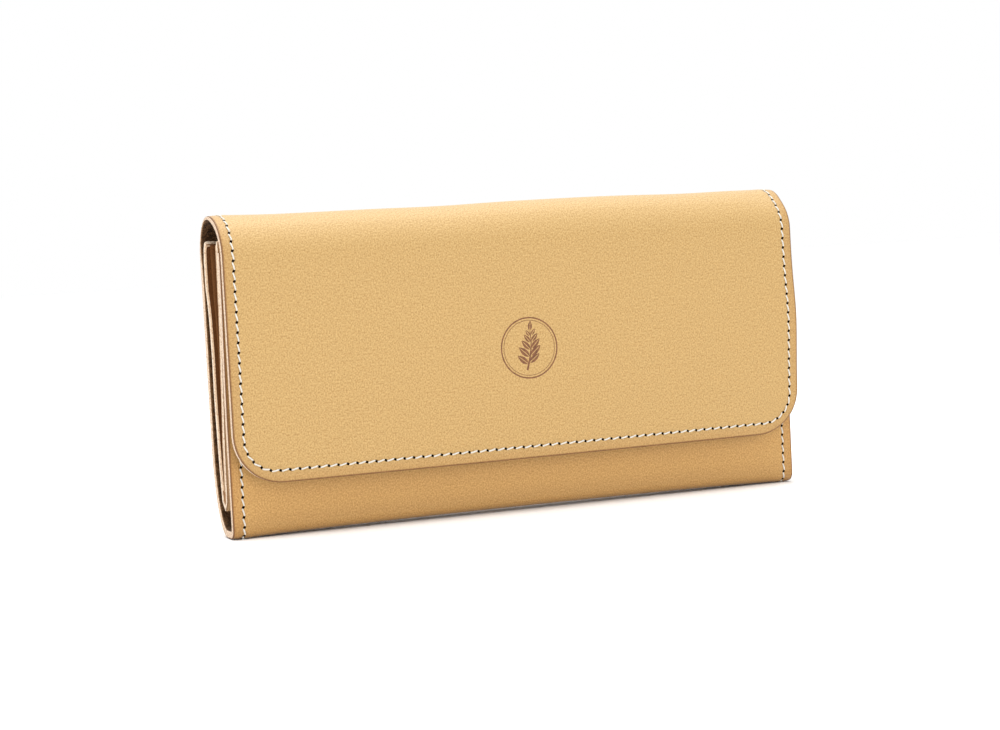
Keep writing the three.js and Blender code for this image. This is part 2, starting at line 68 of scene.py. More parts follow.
random_numbers = random.Random(11)


def box_mm(node):
    low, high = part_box(node)
    return low / MM, high / MM


# ---- dimensions, from the frame

back_high = box_mm("back_panel")[1]
flap_low = box_mm("flap_panel")[0]
front_low, front_high = box_mm("front_panel")
socket_low, socket_high = box_mm("snap_socket")

HALF = back_high.x
BACK_Y = back_high.y
FOLD_R = BACK_Y
FOLD_Z = box_mm("top_fold_2")[1].z - FOLD_R
FLAP_EDGE_Z = flap_low.z + 0.25
PANEL_TOP_Z = front_high.z
FRONT_TOP_Y = front_low.y - 0.9
FRONT_FACE_Y = box_mm("front_thread_left")[1].y - 0.4
FRONT_BEND_Z = 31.0  # the front panel leans forward above this height
SNAP_Z = (socket_low.z + socket_high.z) / 2

OUTER = 2.4  # thickness of the outer leather
LINING_FROM = 2.42  # depths of the lining's two faces
LINING_TO = 2.95
SKIVE = 2.0  # the leather is pared this much thinner where it turns over the top
SKIVE_WIDTH = 11.0
SEAM_INSET = 3.2  # from the side edges
SEAM_RISE = 3.7  # above the flap's edge
FLAP_CORNER = 15.0  # radii of the flap's corners and of the seam's
SEAM_CORNER = 9.8
FRONT_SEAM_INSET = 3.4
FRONT_SEAM_START = 1.8  # below the front panel's top edge
STITCH_PITCH = 3.0
EDGE_ROUND = 0.35
TOE_RADIUS = 3.4  # the front panel's turn into the bottom
HEEL_RADII = (12.0, 26.0)  # the bottom's turn into the back


# ---- curves in the Y-Z plane


class Path:
    """An open curve through (y, z) points, by the distance along it. Its outside is on its right."""

    def __init__(self, points):
        self.points = np.array(points, float)
        steps = np.linalg.norm(np.diff(self.points, axis=0), axis=1)
        self.at = np.concatenate([[0.0], np.cumsum(steps)])
        tangent = np.gradient(self.points, self.at, axis=0)
        self.tangent = tangent / np.linalg.norm(tangent, axis=1)[:, None]
        self.length = self.at[-1]

    def nearest(self, y, z):
        gaps = np.linalg.norm(self.points - np.array([y, z]), axis=1)
        return self.at[int(np.argmin(gaps))]

    def point(self, v, depth=0.0):
        """(y, z) at a distance along the curve and a depth inside it, past either end too."""
        inside = np.clip(v, 0.0, self.length)
        tangent = np.array([np.interp(inside, self.at, self.tangent[:, i]) for i in (0, 1)])
        tangent /= np.linalg.norm(tangent, axis=0)
        place = np.array([np.interp(inside, self.at, self.points[:, i]) for i in (0, 1)])
        place = place + tangent * (v - inside)
        return place[0] - tangent[1] * depth, place[1] + tangent[0] * depth


CURVE_STEP = 1.5


def line(a, b, step=CURVE_STEP):
    count = max(1, round(math.dist(a, b) / step))
    return [(a[0] + (b[0] - a[0]) * i / count, a[1] + (b[1] - a[1]) * i / count) for i in range(count)]


def arc(centre, radii, from_deg, to_deg, steps):
    angles = np.radians(np.linspace(from_deg, to_deg, steps + 1))[:-1]
    return [(centre[0] + radii[0] * math.cos(a), centre[1] + radii[1] * math.sin(a)) for a in angles]


def ramp(x, start, end):
    """0 up to start, 1 from end on, and smooth between them. The end may be the lower one."""
    share = np.clip((x - start) / (end - start), 0.0, 1.0)
    return share * share * (3.0 - 2.0 * share)


def bell(x, middle, width):
    """1 at the middle, fading to nothing about twice the width away."""
    return np.exp(-(((x - middle) / width) ** 2))


def shell_path():
    """The grain side of the outer leather, from the front panel's top edge to the flap's edge."""
    toe = (FRONT_FACE_Y + TOE_RADIUS, TOE_RADIUS)
    heel = (BACK_Y - HEEL_RADII[0], HEEL_RADII[1])
    bend = [
        (FRONT_TOP_Y + (FRONT_FACE_Y - FRONT_TOP_Y) * ramp(z, PANEL_TOP_Z, FRONT_BEND_Z), z)
        for z in np.arange(PANEL_TOP_Z, FRONT_BEND_Z, -CURVE_STEP)
    ]
    return Path(
        bend
        + line((FRONT_FACE_Y, FRONT_BEND_Z), (FRONT_FACE_Y, toe[1]))
        + arc(toe, (TOE_RADIUS, TOE_RADIUS), 180, 270, 10)
        + line((toe[0], 0.0), (heel[0], 0.0))
        + arc(heel, HEEL_RADII, -90, 0, 26)
        + line((BACK_Y, heel[1]), (BACK_Y, FOLD_Z))
        + arc((0.0, FOLD_Z), (FOLD_R, FOLD_R), 0, 180, 48)
        + line((-BACK_Y, FOLD_Z), (-BACK_Y, FLAP_EDGE_Z))
        + [(-BACK_Y, FLAP_EDGE_Z)]
    )


SHELL = shell_path()


def fold_v(degrees):
    """Where the top fold has turned by this much, from the back panel towards the flap."""
    a = math.radians(degrees)
    return SHELL.nearest(FOLD_R * math.cos(a), FOLD_Z + FOLD_R * math.sin(a))


# ---- the outer leather's surface


def rounded_inset(u, height, half, low, radius):
    """Distance inside an outline that is open at the top and round at its lower corners."""
    qx = np.abs(u) - (half - radius)
    qz = (low + radius) - height
    outside = np.hypot(np.maximum(qx, 0.0), np.maximum(qz, 0.0))
    return radius - outside - np.minimum(np.maximum(qx, qz), 0.0)


def flap_height(v):
    """Height above the flap's lower edge, with the top fold and the back unrolled."""
    return SHELL.length - v


def seam_inset(u, v):
    """Distance inside the seam line, negative between it and the cut edge."""
    return rounded_inset(u, flap_height(v), HALF - SEAM_INSET, SEAM_RISE, SEAM_CORNER)


GROOVE, GROOVE_WIDTH = 0.20, 0.55  # the line that the stitches lie in
BAND = 0.16  # between the seam and the cut edge
PUFF, PUFF_INSET, PUFF_WIDTH = 0.07, 1.7, 0.9  # the leather swells beside the seam


def seam_relief(u, v):
    """How far the seam's tension draws the grain side in."""
    inside = seam_inset(u, v)
    drawn = GROOVE * bell(inside, 0.0, GROOVE_WIDTH) + BAND * ramp(-inside, 0.0, SEAM_INSET)
    return drawn - PUFF * bell(inside, PUFF_INSET, PUFF_WIDTH)


ARCH = 0.6  # rise of the bottom's middle
END_LIFT, END_REACH = 0.40, 14.0  # the bottom's ends hang this much lower, over this length
LOW_REACH = 16.0  # height up to which the bottom's slack reaches
BULGE = 0.9  # of the flap's middle, forwards
STUD_CAP, STUD_CAP_HALF = 0.28, (7.0, 6.0)  # height over the press stud, and half its size
DIPS = ((0.42, 62.0, 18.0), (0.30, -22.0, 16.0))  # depth, x and width of the dips in the top
SLANT = 0.4  # the flap's edge rises this much towards its right end
SHOULDER, SHOULDER_TURN = 0.8, (1.15, 0.45)  # the fold is proud at its left end: radians round it
TUCK, TUCK_TURN = 1.15, (2.3, 0.55)  # and drawn in at its right end
SPREAD, SPREAD_Z = 0.9, (56.0, 17.0)  # the flap's right side leans out: height and width


def warp(x, y, z):
    """The slack of the real leather: an arched bottom, a full flap and gentle waves."""
    across = 1.0 - (x / HALF) ** 2
    near_bottom = np.clip(1.0 - z / LOW_REACH, 0.0, 1.0)
    arch = ARCH * across * near_bottom ** 1.6
    lift = END_LIFT * (1.0 - np.exp((np.abs(x) - HALF) / END_REACH) * near_bottom)

    in_front = ramp(y, -9.0, -10.5)
    on_flap = in_front * ramp(z, FOLD_Z + 2.0, FOLD_Z - 32.0)
    full = BULGE * across * on_flap
    from_stud = (x / STUD_CAP_HALF[0]) ** 2 + ((z - SNAP_Z) / STUD_CAP_HALF[1]) ** 2
    cap = STUD_CAP * np.exp(-from_stud ** 1.5) * on_flap
    waves = 0.14 * np.sin(x / 21.0 + 1.3) * np.sin(z / 15.0 + 0.4) + 0.10 * np.sin(x / 37.0 - z / 24.0)
    waves = waves * ramp(y, -5.0, -7.0) * ramp(z, 0.0, 12.0)
    slant = SLANT * (x / HALF + 1.0) / 2.0 * ramp(z, 27.0, 18.0) * in_front
    spread = SPREAD * ramp(x, 70.0, 95.0) * bell(z, *SPREAD_Z) * on_flap

    sag = sum(depth * bell(x, middle, width) for depth, middle, width in DIPS)
    top = (0.22 * np.sin(x / 31.0 + 0.6) - sag) * ramp(z, FOLD_Z, FOLD_Z + 8.0)
    angle = np.arctan2(z - FOLD_Z, y)
    proud = SHOULDER * ramp(x, -72.0, -94.0) * bell(angle, *SHOULDER_TURN)
    proud = proud - TUCK * ramp(x, 73.0, 94.0) * bell(angle, *TUCK_TURN)
    proud = proud * ramp(z, FOLD_Z, FOLD_Z + 2.0)

    y_moved = y + proud * np.cos(angle) - full - cap - waves
    return x + spread, y_moved, z + proud * np.sin(angle) + arch + top + lift + slant


def on_shell(u, v, depth):
    """Points of the outer strip, as an array of (x, y, z)."""
    u, v, depth = np.broadcast_arrays(*(np.asarray(a, float) for a in (u, v, depth)))
    y, z = SHELL.point(v, depth)
    return np.stack(warp(u, y, z), axis=-1)


# ---- meshes

FAR_FROM_EDGE = 50.0


def add_object(name, data):
    obj = bpy.data.objects.new(name, data)
    bpy.context.scene.collection.objects.link(obj)
    return obj


def make_object(name, vertices, faces, materials, face_materials=None, rest=None, edge=None, sharp=35):
    """A mesh object from points in millimetres. rest holds each point's (u, v, depth) and edge its
    distance from the leather's cut edge, both for the materials."""
    mesh = bpy.data.meshes.new(name)
    mesh.from_pydata([tuple(float(c) * MM for c in p) for p in vertices], [], faces)
    for material in materials:
        mesh.materials.append(material)
    if face_materials is not None:
        mesh.polygons.foreach_set("material_index", face_materials)
    mesh.shade_smooth()
    mesh.set_sharp_from_angle(angle=math.radians(sharp))
    rest = np.array(vertices if rest is None else rest, np.float32)
    mesh.attributes.new("rest", "FLOAT_VECTOR", "POINT").data.foreach_set("vector", rest.ravel())
    edge = np.full(len(vertices), FAR_FROM_EDGE) if edge is None else edge
    mesh.attributes.new("edge", "FLOAT", "POINT").data.foreach_set("value", np.array(edge, np.float32))
    mesh.validate()
    mesh.update()
    return add_object(name, mesh)


RAW_WIDTH = 0.1  # a face this near the cut has the cut edge's material


def rounding(inset, radius=EDGE_ROUND):
    """How far a rounded edge has fallen at a distance from the cut."""
    x = np.clip(1.0 - inset / radius, 0.0, 1.0)
    return radius * (1.0 - np.sqrt(1.0 - x * x))


def sheet_faces(rows, columns, cell_kinds=lambda i, j: [0, 0]):
    """Faces and face materials of a closed sheet: a grid of points for the near side, one for the
    far side and a rim between them. cell_kinds gives the materials of a cell's near and far face."""
    near, far = np.arange(2 * rows * columns).reshape(2, rows, columns)
    faces, kinds = [], []
    for i in range(rows - 1):
        for j in range(columns - 1):
            corners = ((i, j), (i + 1, j), (i + 1, j + 1), (i, j + 1))
            faces.append(tuple(near[c] for c in corners))
            faces.append(tuple(far[c] for c in corners[::-1]))
            kinds += cell_kinds(i, j)
    last_i, last_j = rows - 1, columns - 1
    loop = [(i, 0) for i in range(rows)] + [(last_i, j) for j in range(1, columns)]
    loop += [(i, last_j) for i in range(last_i - 1, -1, -1)] + [(0, j) for j in range(last_j - 1, 0, -1)]
    for a, b in zip(loop, loop[1:] + loop[:1]):
        faces.append((near[b], near[a], far[a], far[b]))
        kinds.append(1)
    return faces, kinds


def sheet_grid(us, vs, place, near, far, inset):
    """Vertices and faces of a closed sheet over a grid of u and v lines. place(u, v, depth) gives a
    point, and near and far are the depths of its two sides. The cut edges, where inset(u, v) is
    small, are round."""
    U, V = np.meshgrid(us, vs, indexing="ij")
    d = inset(U, V)
    fall = np.minimum(rounding(d), (far - near) / 2 - 0.02)
    points, rest, edge = [], [], []
    for depth in (near + fall, far - fall):
        points.append(place(U, V, depth).reshape(-1, 3))
        rest.append(np.stack([U, V, depth], axis=-1).reshape(-1, 3))
        edge.append(d.ravel())

    def cell_kinds(i, j):
        return [1, 1] if d[i : i + 2, j : j + 2].min() < RAW_WIDTH else [0, 2]

    faces, kinds = sheet_faces(*U.shape, cell_kinds)
    return np.concatenate(points), faces, kinds, np.concatenate(rest), np.concatenate(edge)


def lines_between(low, high, step, near_low=(), near_high=()):
    """Grid lines at about a step apart, with closer ones at given distances from either end."""
    low_lines = [low + d for d in near_low]
    high_lines = [high - d for d in near_high]
    start = low_lines[-1] if low_lines else low
    end = high_lines[-1] if high_lines else high
    count = max(1, round((end - start) / step))
    middle = [start + (end - start) * i / count for i in range(count + 1)]
    return sorted(set(round(x, 4) for x in low_lines + middle + high_lines))


EDGE_LINES = (0.0, 0.05, 0.14, 0.28, 0.5, 1.0, 1.6, 2.1, 2.5, 2.8, 3.05, 3.3, 3.6, 4.0, 4.5, 5.2, 6.2)


def rounded_end(left, right, end, radius):
    """Turns the two square corners at a grid's upper end of v into round ones."""
    half, middle = (right - left) / 2, (right + left) / 2

    def place(u, v):
        a, b = np.abs(u - middle) - (half - radius), v - (end - radius)
        length = np.maximum(np.hypot(a, b), 1e-9)
        scale = np.where((a > 0) & (b > 0), np.maximum(a, b) / length, 1.0)
        return middle + np.sign(u - middle) * (half - radius + a * scale), end - radius + b * scale

    return place


def cut_inset(us, vs, low_cut=True, high_cut=True):
    """Distance from a grid's cut edges, before its corners are made round."""

    def inset(u, v):
        d = np.minimum(u - us[0], us[-1] - u)
        d = np.minimum(d, v - vs[0]) if low_cut else d
        return np.minimum(d, vs[-1] - v) if high_cut else d

    return inset


# ---- materials


PLAIN = (1.0, 1.0, 1.0)
HONEY = (0.552, 0.347, 0.127)
PALE_TAN = (0.76, 0.50, 0.26)
# painted shade: the gussets' dark brown stands for the shade in the deep gap between the layers
GUSSET_SHADE_BROWN = (0.15, 0.056, 0.014)
BURNISH = (0.34, 0.19, 0.10)
GUSSET_BURNISH = (0.6, 0.5, 0.45)
# the darker band beside a cut edge: partly the leather's colour, partly painted shade of the edge
# turning back
EDGE_BAND_TONE_AND_SHADE = (0.90, 0.83, 0.76)
FAR_BAND_TONE_AND_SHADE = (0.93, 0.89, 0.87)
RIM_WIDTH = 3.6  # of the darker band beside a cut edge, partly the leather's colour and partly painted shade
RIM_BROWN = (0.15, 0.065, 0.026)
EDGE_SPECK = (0.56, 0.40, 0.30)


class Nodes:
    """A material's node tree, with short calls to add and join nodes."""

    def __init__(self, name, roughness, metallic=0.0):
        self.material = bpy.data.materials.new(name)
        self.material.use_nodes = True
        self.tree = self.material.node_tree
        self.shader = self.tree.nodes["Principled BSDF"]
        self.shader.inputs["Roughness"].default_value = roughness
        self.shader.inputs["Metallic"].default_value = metallic

    def add(self, kind, **values):
        node = self.tree.nodes.new("ShaderNode" + kind)
        for key, value in values.items():
            if key in node.inputs:
                node.inputs[key].default_value = value
            else:
                setattr(node, key, value)
        return node

    def join(self, source, target):
        self.tree.links.new(source, target)

    def attribute(self, name, output):
        return self.add("Attribute", attribute_name=name).outputs[output]

    @functools.cached_property
    def place(self):
        """Where a point lies on its piece laid flat, in mm."""
        return self.attribute("rest", "Vector")

    def texture(self, kind, stretch=(1.0, 1.0, 1.0), **values):
        vector = self.place
        if stretch != (1.0, 1.0, 1.0):
            mapping = self.add("Mapping", Scale=stretch)
            self.join(vector, mapping.inputs["Vector"])
            vector = mapping.outputs[0]
        node = self.add("Tex" + kind, **values)
        self.join(vector, node.inputs["Vector"])
        return node

    def noise(self, scale, detail=2.0, **options):
        """Noise with about one grain in 1/scale mm."""
        return self.texture("Noise", Scale=scale, Detail=detail, **options).outputs["Fac"]

    def ramp(self, factor, *stops):
        node = self.add("ValToRGB")
        elements = node.color_ramp.elements
        while len(elements) < len(stops):
            elements.new(0.5)
        for element, (position, colour) in zip(elements, stops):
            element.position = position
            element.color = (*colour, 1.0)
        self.join(factor, node.inputs["Fac"])
        return node.outputs["Color"]

    def mix(self, factor, a, b, blend_type="MIX"):
        node = self.add("Mix", data_type="RGBA", blend_type=blend_type)
        for socket, value in ((node.inputs[0], factor), (node.inputs[6], a), (node.inputs[7], b)):
            if isinstance(value, bpy.types.NodeSocket):
                self.join(value, socket)
            else:
                socket.default_value = (*value, 1.0) if isinstance(value, tuple) else value
        return node.outputs[2]

    def remap(self, value, low, high, to_low=0.0, to_high=1.0):
        node = self.add("MapRange")
        self.join(value, node.inputs["Value"])
        limits = {"From Min": low, "From Max": high, "To Min": to_low, "To Max": to_high}
        for name, number in limits.items():
            node.inputs[name].default_value = number
        return node.outputs["Result"]

    def bump(self, *layers):
        """Bumps on top of each other: each layer is a height from 0 to 1 and its size in mm."""
        normal = None
        for height, size in layers:
            node = self.add("Bump", Strength=1.0, Distance=size * MM)
            self.join(height, node.inputs["Height"])
            if normal is not None:
                self.join(normal, node.inputs["Normal"])
            normal = node.outputs["Normal"]
        self.join(normal, self.shader.inputs["Normal"])

    def colour(self, source):
        self.join(source, self.shader.inputs["Base Color"])

    def set(self, **values):
        for name, value in values.items():
            self.shader.inputs[name.replace("_", " ")].default_value = value
        return self


def scaled(colour, factor):
    return tuple(c * factor for c in colour)


def grain_leather(name, tone, edge_tone, roughness=0.5, contrast=1.0, grain=1.0, shine=0.4,
                  sheen=0.0, tones_and_light=()):
    """Smooth vegetable-tanned leather: cloudy tone, a fine pebbled grain with pores, a burnished line
    along the cut edges and a darker band beside them, partly the leather's colour and partly painted
    shade.
    tones_and_light are (v, colour) pairs along the outer strip, among them painted shade and a painted
    highlight."""
    m = Nodes(name, roughness)
    clouds = m.noise(0.035, 3.0)
    patches = m.noise(0.22, 3.0)
    pebbles = m.noise(2.3, 4.0, stretch=(1.0, 0.8, 1.0))
    fine = m.noise(5.0, 2.0)
    pores = m.texture("Voronoi", Scale=1.1, Randomness=1.0)
    pore = m.remap(pores.outputs["Distance"], 0.05, 0.32)
    dark = tuple(c * (1.0 - d * contrast) for c, d in zip(tone, (0.26, 0.33, 0.44)))
    light = tuple(c * (1.0 + d * contrast) for c, d in zip(tone, (0.17, 0.24, 0.36)))
    colour = m.ramp(clouds, (0.3, scaled(tone, 0.955)), (0.7, scaled(tone, 1.035)))
    colour = m.mix(0.5, colour, m.ramp(patches, (0.3, scaled(tone, 0.93)), (0.7, scaled(tone, 1.06))))
    colour = m.mix(0.85, colour, m.ramp(pebbles, (0.34, dark), (0.66, light)))
    pore_tint = m.ramp(pore, (0.0, (0.78, 0.70, 0.62)), (1.0, PLAIN))
    colour = m.mix(0.5 * contrast, colour, pore_tint, "MULTIPLY")
    # the outer strip's colour along v, which holds painted shade and a painted highlight
    if tones_and_light:
        split = m.add("SeparateXYZ")
        m.join(m.place, split.inputs["Vector"])
        along = m.remap(split.outputs["Y"], 0.0, SHELL.length)
        tone_and_light = m.ramp(along, *[(v / SHELL.length, shade) for v, shade in tones_and_light])
        colour = m.mix(1.0, colour, tone_and_light, "MULTIPLY")
    # a burnished line at the cut edge, then a darker band that is partly colour and partly painted shade
    rim = m.attribute("edge", "Fac")
    worn = tuple(0.2 + 0.8 * c for c in edge_tone)
    near_rim = m.ramp(
        m.remap(rim, 0.0, RIM_WIDTH), (0.0, edge_tone), (0.05, edge_tone), (0.11, worn),
        (0.18, EDGE_BAND_TONE_AND_SHADE), (0.75, FAR_BAND_TONE_AND_SHADE), (1.0, PLAIN),
    )
    m.colour(m.mix(0.85, colour, near_rim, "MULTIPLY"))
    rough = m.remap(pebbles, 0.3, 0.7, roughness - 0.06, roughness + 0.08)
    m.join(rough, m.shader.inputs["Roughness"])
    m.bump((patches, 0.10 * grain), (pebbles, 0.13 * grain), (pore, 0.04 * grain), (fine, 0.02 * grain))
    m.set(Sheen_Weight=sheen, Sheen_Roughness=0.35, Sheen_Tint=(1.0, 0.95, 0.86, 1.0))
    return m.set(Specular_IOR_Level=shine).material


def cut_edge(name, tone, burnished=0.0):
    """The raw cut of thick leather: fibres along it, brown specks, and burnished to a depth below
    the grain side."""
    m = Nodes(name, 0.75)
    layers = m.noise(1.0, 4.0, stretch=(0.5, 0.5, 4.0))
    spots = m.noise(1.6, 3.0)
    colour = m.ramp(layers, (0.3, scaled(tone, 0.82)), (0.7, scaled(tone, 1.10)))
    specks = m.ramp(spots, (0.34, scaled(EDGE_SPECK, 0.8)), (0.42, EDGE_SPECK), (0.5, PLAIN))
    colour = m.mix(0.6, colour, specks, "MULTIPLY")
    if burnished:
        axes = m.add("SeparateXYZ")
        m.join(m.place, axes.inputs[0])
        share = m.remap(axes.outputs["Z"], burnished, burnished + 0.15)
        colour = m.mix(share, RIM_BROWN, colour)
    m.colour(colour)
    m.bump((layers, 0.12), (spots, 0.06))
    m.set(Specular_IOR_Level=0.2)
    return m.material


def suede(name, tone):
    """Rough brown lining with a nap."""
    m = Nodes(name, 1.0)
    nap = m.noise(1.5, 5.0)
    tufts = m.noise(0.55, 4.0)
    colour = m.ramp(nap, (0.36, scaled(tone, 0.25)), (0.64, scaled(tone, 2.4)))
    m.colour(m.mix(0.45, colour, m.ramp(tufts, (0.38, scaled(tone, 0.3)), (0.62, scaled(tone, 2.2)))))
    m.bump((tufts, 0.6), (nap, 0.4))
    m.set(Sheen_Weight=0.04, Sheen_Roughness=0.5, Specular_IOR_Level=0.08)
    return m.material


def waxed_thread(name, tone):
    m = Nodes(name, 0.62)
    twist = m.texture("Wave", Scale=1.9, Distortion=0.4)
    m.colour(m.ramp(twist.outputs["Fac"], (0.0, scaled(tone, 0.80)), (1.0, tone)))
    m.bump((twist.outputs["Fac"], 0.06))
    return m.material


# painted shade of an awl hole: near black
def dark_hole(name):
    m = Nodes(name, 1.0)
    m.set(Specular_IOR_Level=0.02)
    m.colour(m.ramp(m.noise(2.0), (0.3, (0.006, 0.003, 0.002)), (0.7, (0.014, 0.007, 0.003))))
    return m.material


def burnt_stamp(name):
    """Grain burnt dark by a hot stamp."""
    m = Nodes(name, 0.6)
    scorch = m.noise(0.9, 3.0)
    fine = m.noise(3.0, 2.0)
    m.colour(m.ramp(scorch, (0.3, (0.13, 0.045, 0.016)), (0.7, (0.25, 0.10, 0.036))))
    m.bump((scorch, 0.05), (fine, 0.03))
    return m.material


def satin_brass(name):
    m = Nodes(name, 0.3, 1.0)
    wear = m.noise(0.8, 3.0)
    scratches = m.noise(2.5, 3.0, stretch=(0.3, 1.0, 3.0))
    m.colour(m.ramp(wear, (0.3, (0.52, 0.36, 0.15)), (0.7, (0.70, 0.52, 0.26))))
    m.join(m.remap(scratches, 0.3, 0.7, 0.22, 0.42), m.shader.inputs["Roughness"])
    m.bump((scratches, 0.015))
    return m.material


def woven_tape(name, tone):
    m = Nodes(name, 0.9)
    warps = m.texture("Wave", Scale=0.9, bands_direction="X")
    wefts = m.texture("Wave", Scale=0.9, bands_direction="Y")
    weave = m.mix(0.5, warps.outputs["Color"], wefts.outputs["Color"])
    m.colour(m.ramp(weave, (0.2, scaled(tone, 0.6)), (0.8, scaled(tone, 1.5))))
    m.bump((weave, 0.12))
    m.set(Sheen_Weight=0.2)
    return m.material


FRONT_TINT = (1.03, 0.93, 0.80)
# painted shade where the front panel turns under into the bottom
TOE_SHADE = (0.86, 0.76, 0.64)
UNDERSIDE_SHADE = (0.50, 0.42, 0.36)  # painted contact shade under the wallet, where it meets the floor
# painted highlight: the top of the fold lighter and whiter, as if lit from above
FOLD_HIGHLIGHT = (1.11, 1.17, 1.36)
TONES_AND_LIGHT = (  # the outer leather's colour along v: the front panel darker and more saturated, painted shade round the toe and under the bottom, and a painted highlight over the top fold
    (SHELL.nearest(FRONT_FACE_Y, 8.0), FRONT_TINT),
    (SHELL.nearest(FRONT_FACE_Y + 1.1, 0.9), TOE_SHADE),
    (SHELL.nearest(FRONT_FACE_Y + 2.2, 0.3), UNDERSIDE_SHADE),
    (SHELL.nearest(2.0, 0.0), UNDERSIDE_SHADE),
    (SHELL.nearest(BACK_Y - 4.6, 9.0), PLAIN),
    (fold_v(30), PLAIN),
    (fold_v(70), FOLD_HIGHLIGHT),
    (fold_v(125), FOLD_HIGHLIGHT),
    (fold_v(175), PLAIN),
)
shell_leather = grain_leather("shell_leather", HONEY, BURNISH, sheen=0.3, tones_and_light=TONES_AND_LIGHT)
wall_leather = grain_leather("wall_leather", PALE_TAN, BURNISH, roughness=0.58, contrast=0.8, grain=0.8)
# painted shade: the gussets and their sewn edges are dark so that the gaps between the layers read dark
shaded_brown_leather = grain_leather(
    "gusset_leather_with_shade", GUSSET_SHADE_BROWN, GUSSET_BURNISH, roughness=0.65, contrast=0.7, grain=0.7, shine=0.12
)
raw_edge = cut_edge("raw_edge", (0.86, 0.70, 0.53))
shell_edge = cut_edge("shell_edge", (0.80, 0.62, 0.46), EDGE_ROUND * 0.75)
# the flanges' and gussets' cut edges are darker than the walls': painted shade of the gaps
shaded_flange_edge = cut_edge("shaded_flange_edge", (0.66, 0.46, 0.29))
shaded_brown_edge = cut_edge("shaded_brown_edge", (0.20, 0.075, 0.022))
brown_suede = suede("brown_suede", (0.060, 0.030, 0.013))
thread = waxed_thread("waxed_thread", (0.93, 0.89, 0.80))
hole = dark_hole("stitch_hole")
stamp = burnt_stamp("burnt_stamp")
brass = satin_brass("satin_brass")
tape = woven_tape("zip_tape", (0.060, 0.034, 0.020))


# ---- the frame's joints; the top fold's pieces are baked in place

joints = {joint["name"]: joint for joint in frame["joints"]}


def fold_blend(piece):
    """Bakes a piece's placement into its mesh."""
    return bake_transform(piece)


def front_blend(piece):
    """Bakes a piece's placement into its mesh."""
    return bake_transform(piece)


# ---- outer leather and lining

HEEL_CUT = SHELL.nearest(BACK_Y - 4.0, 15.0)
SKIVE_V = fold_v(44)
# Name, first and last v, bend (a function or a hinge of the top fold), CAD nodes of the leather.
STRIPS = (
    ("front", 0.0, HEEL_CUT, front_blend, ("front_panel", "bottom_fold")),
    ("back", HEEL_CUT, fold_v(45), 0, ("back_panel",)),
    ("top_fold_rear", fold_v(45), fold_v(90), 1, ("top_fold_1",)),
    ("top_fold_front", fold_v(90), fold_v(135), 2, ("top_fold_2",)),
    ("flap", fold_v(135), SHELL.length, 3, ("top_fold_3", "flap_panel")),
)
COLUMN_STEP = 2.4  # between grid lines
ROW_STEP = 2.2
TOE_V = SHELL.nearest(FRONT_FACE_Y + 0.8, 1.0)
TOE_REACH = 4.0


def nodes_like(leather_nodes, *endings):
    """The CAD nodes that are named after nodes of the outer leather, with one of the endings."""
    names = [node.replace("_panel", "") + ending for node in leather_nodes for ending in endings]
    return [name for name in names if name in frame["nodes"]]


def bend(piece, rule):
    return rule(piece) if callable(rule) else fold_blend(piece)


def strip_lines(v_from, v_to, edge_lines, margin):
    """v lines of one piece: close together at a cut edge, beside a cut where the next piece begins,
    round the toe and over the top fold."""
    beside = (0.0, 0.12)
    low = edge_lines if v_from == 0.0 else beside
    high = edge_lines if v_to == SHELL.length else beside
    start = v_from + (margin if v_from == 0.0 else 0.0)
    end = v_to - (margin if v_to == SHELL.length else 0.0)
    lines = lines_between(start, end, ROW_STEP, low, high)
    toe = [TOE_V + d for d in np.arange(-TOE_REACH, TOE_REACH + 0.1, 0.5)]
    extra = [v for v in toe if start + 0.3 < v < end - 0.3]
    if v_from > 0.0 and v_to - v_from < 30.0:
        extra += list(np.linspace(start + 0.2, end - 0.2, 12))
    return np.array(sorted(lines + [e for e in extra if min(abs(e - x) for x in lines) > 0.08]))


def strip_place(margin):
    """Places a grid point on the strip, with the flap's lower corners round and the seam drawn in."""
    half = HALF - margin
    rounded = rounded_end(-half, half, SHELL.length - margin, FLAP_CORNER - margin)

    def place(u, v, depth):
        u, v = rounded(u, v)
        relief = seam_relief(u, v) * np.clip(1.0 - depth / OUTER, 0.0, 1.0)
        pared = SKIVE * bell(v, SKIVE_V, SKIVE_WIDTH) * np.minimum(depth / OUTER, 1.0)
        return on_shell(u, v, depth - pared + relief)

    return place


def add_strip(name, part, near, far, margin, edge_lines, materials, replaced, slot):
    _, v_from, v_to, rule, _ = part
    us = np.array(lines_between(margin - HALF, HALF - margin, COLUMN_STEP, edge_lines, edge_lines))
    vs = strip_lines(v_from, v_to, edge_lines, margin)
    inset = cut_inset(us, vs, v_from == 0.0, v_to == SHELL.length)
    points, faces, kinds, rest, edge = sheet_grid(us, vs, strip_place(margin), near, far, inset)
    piece = make_object(name, points, faces, materials, kinds, rest, edge)
    bend(piece, rule)
    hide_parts(*replaced)
    return piece


SHELL_MATERIALS = [shell_leather, shell_edge, shell_leather]
LINING_MARGIN = 0.3
LINING_LINES = (0.0, 0.08, 0.25, 0.6, 1.4, 3.0)


def add_strips():
    for part in STRIPS:
        name, nodes = part[0], part[4]
        add_strip("shell_" + name, part, 0.0, OUTER, 0.0, EDGE_LINES, SHELL_MATERIALS, nodes, "leather")
        linings = nodes_like(nodes, "_lining")
        depths = (LINING_FROM, LINING_TO, LINING_MARGIN)
        add_strip("lining_" + name, part, *depths, LINING_LINES, [brown_suede] * 3, linings, "lining")


add_strips()


# ---- seams


